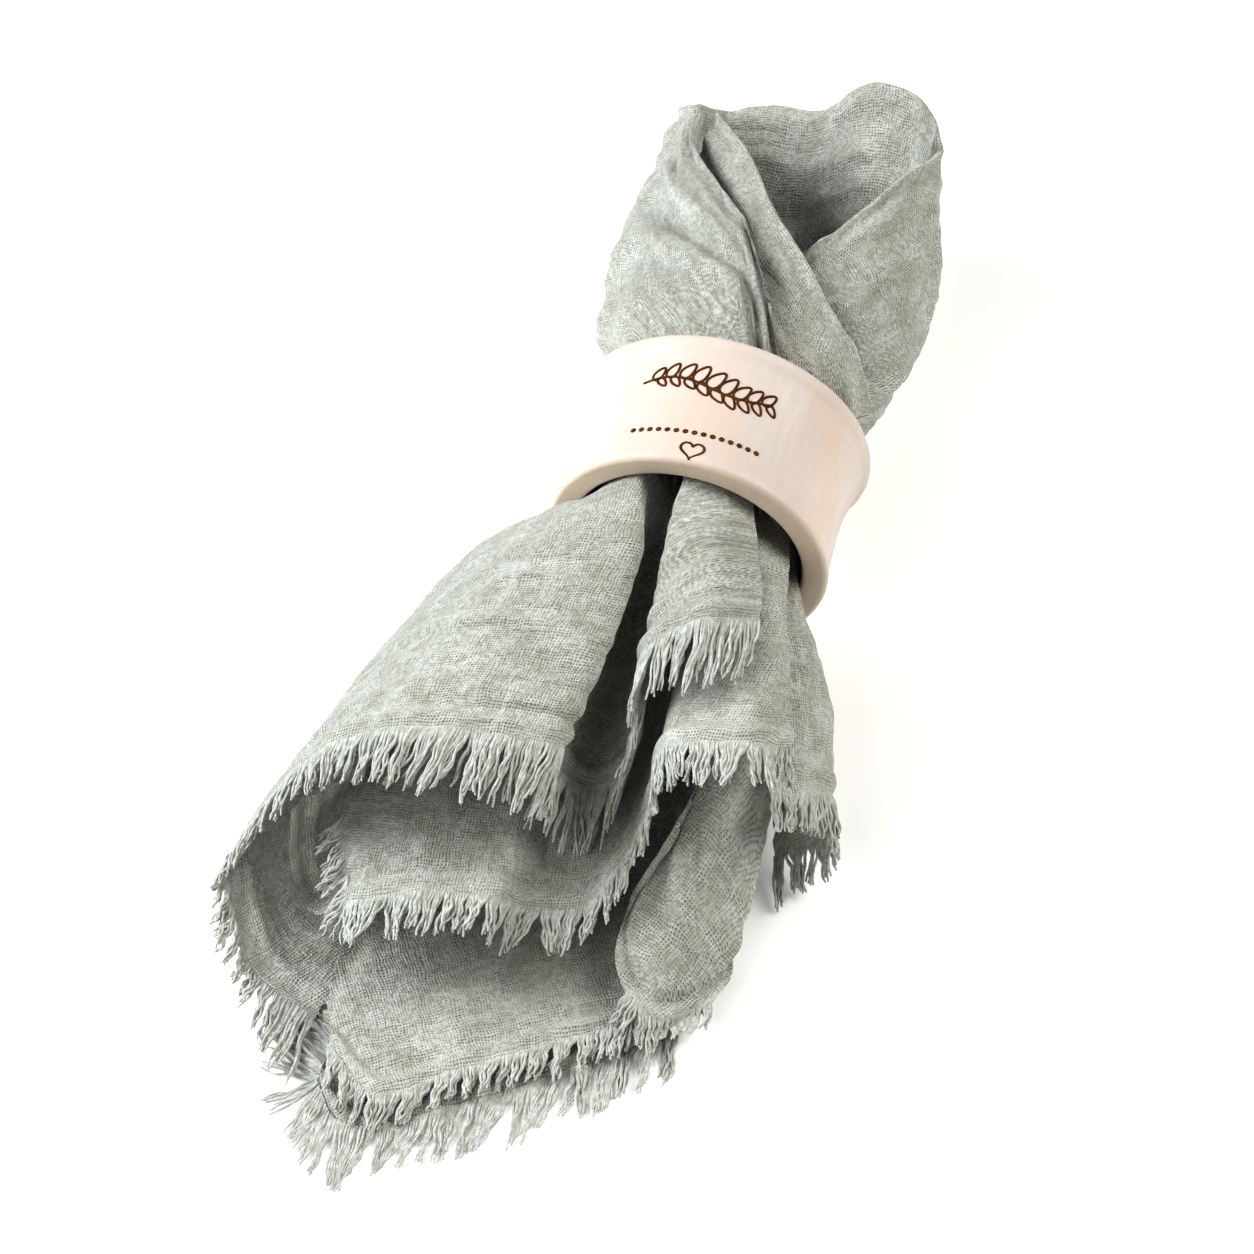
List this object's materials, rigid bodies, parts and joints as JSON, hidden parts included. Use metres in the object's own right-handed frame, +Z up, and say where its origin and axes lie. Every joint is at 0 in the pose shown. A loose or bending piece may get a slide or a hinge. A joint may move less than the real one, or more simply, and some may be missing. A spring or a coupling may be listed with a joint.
{
  "type": "napkin in a ring",
  "caption": "Fringed muslin napkin folded in quarters, rolled to a cone and drawn through a turned wooden napkin ring, open head one side, tiered frayed tail the other.",
  "frame": {"origin": "on the table, under the middle of the whole outline", "axes": "+Y along the ring's axis towards the folded head, -Y towards the fringed tail, +Z up from the table"},
  "size_m": [0.098, 0.2184, 0.0497],
  "materials": {
    "pale maple": "smooth unvarnished turned maple",
    "sage muslin": "matt crinkled open weave",
    "sage yarn": "matt loosened yarn"
  },
  "bodies": {
    "root": {"ring": "pale maple", "napkin": "sage muslin", "fringe_top": "sage yarn", "fringe_second": "sage yarn", "fringe_right": "sage yarn", "fringe_third": "sage yarn", "fringe_fourth": "sage yarn", "fringe_bottom": "sage yarn"}
  },
  "joints": []
}
